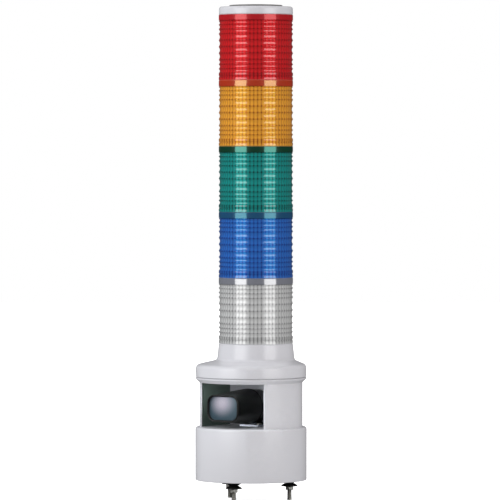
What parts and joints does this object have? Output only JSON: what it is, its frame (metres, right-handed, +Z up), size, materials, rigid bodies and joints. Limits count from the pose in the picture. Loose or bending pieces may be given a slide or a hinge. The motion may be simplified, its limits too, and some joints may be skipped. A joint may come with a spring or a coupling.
{
  "type": "stack light",
  "caption": "Tall stack light with ringed coloured lens tiers over an electric horn in a windowed drum, on a round wiring base fixed by threaded studs.",
  "frame": {"origin": "centre of the base's lower face, which seats on the machine", "axes": "+Z up along the base axis; -Y out of the horn window; +X to the right seen from the window"},
  "size_m": [0.12, 0.12, 0.5342],
  "materials": {
    "white_abs": "moulded, satin gloss",
    "grey_abs": "moulded, matt",
    "dark_panel": "moulded, matt",
    "black_moulding": "moulded, semi-gloss",
    "black_enamel": "stoved enamel, semi-gloss",
    "grey_gauze": "fine woven wire",
    "zinc_steel": "zinc plated",
    "black_rubber": "moulded",
    "silicone": "translucent silicone",
    "circuit_board": "solder mask",
    "terminal_plastic": "moulded",
    "component_case": "moulded",
    "tab_brass": "tinned",
    "diaphragm_alloy": "rolled",
    "seat_plastic": "moulded",
    "lamp_board": "white solder mask",
    "lens_red": "clear moulded resin, coloured through",
    "lens_amber": "clear moulded resin, coloured through",
    "lens_green": "clear moulded resin, coloured through",
    "lens_blue": "clear moulded resin, coloured through",
    "lens_clear": "clear moulded resin"
  },
  "bodies": {
    "root": {"base_housing": "white_abs", "horn_housing": "white_abs", "top_cover": "white_abs", "top_cap": "white_abs", "cap_disc": "grey_abs", "wiring_screen_left": "dark_panel", "wiring_screen_right": "dark_panel", "horn_bell": "black_moulding", "horn_driver": "black_enamel", "horn_gauze": "grey_gauze", "mounting_studs": "zinc_steel", "stud_nuts": "zinc_steel", "base_plate": "zinc_steel", "plate_screws": "zinc_steel", "clamp_screws": "zinc_steel", "horn_bracket": "zinc_steel", "bracket_bolt": "zinc_steel", "bracket_screws": "zinc_steel", "tie_rods": "zinc_steel", "rod_nuts": "zinc_steel", "board_standoffs": "zinc_steel", "stud_washers": "black_rubber", "cable_grommet": "black_rubber", "cover_seal": "silicone", "tier_seals": "silicone", "control_board": "circuit_board", "terminal_block": "terminal_plastic", "board_components": "component_case", "driver_terminals": "tab_brass", "horn_diaphragm": "diaphragm_alloy", "tower_seat": "seat_plastic", "tier_disc_red": "seat_plastic", "tier_disc_amber": "seat_plastic", "tier_disc_green": "seat_plastic", "tier_disc_blue": "seat_plastic", "tier_disc_clear": "seat_plastic", "lamp_core_red": "lamp_board", "lamp_core_amber": "lamp_board", "lamp_core_green": "lamp_board", "lamp_core_blue": "lamp_board", "lamp_core_clear": "lamp_board", "lens_red": "lens_red", "lens_amber": "lens_amber", "lens_green": "lens_green", "lens_blue": "lens_blue", "lens_clear": "lens_clear"}
  },
  "joints": []
}
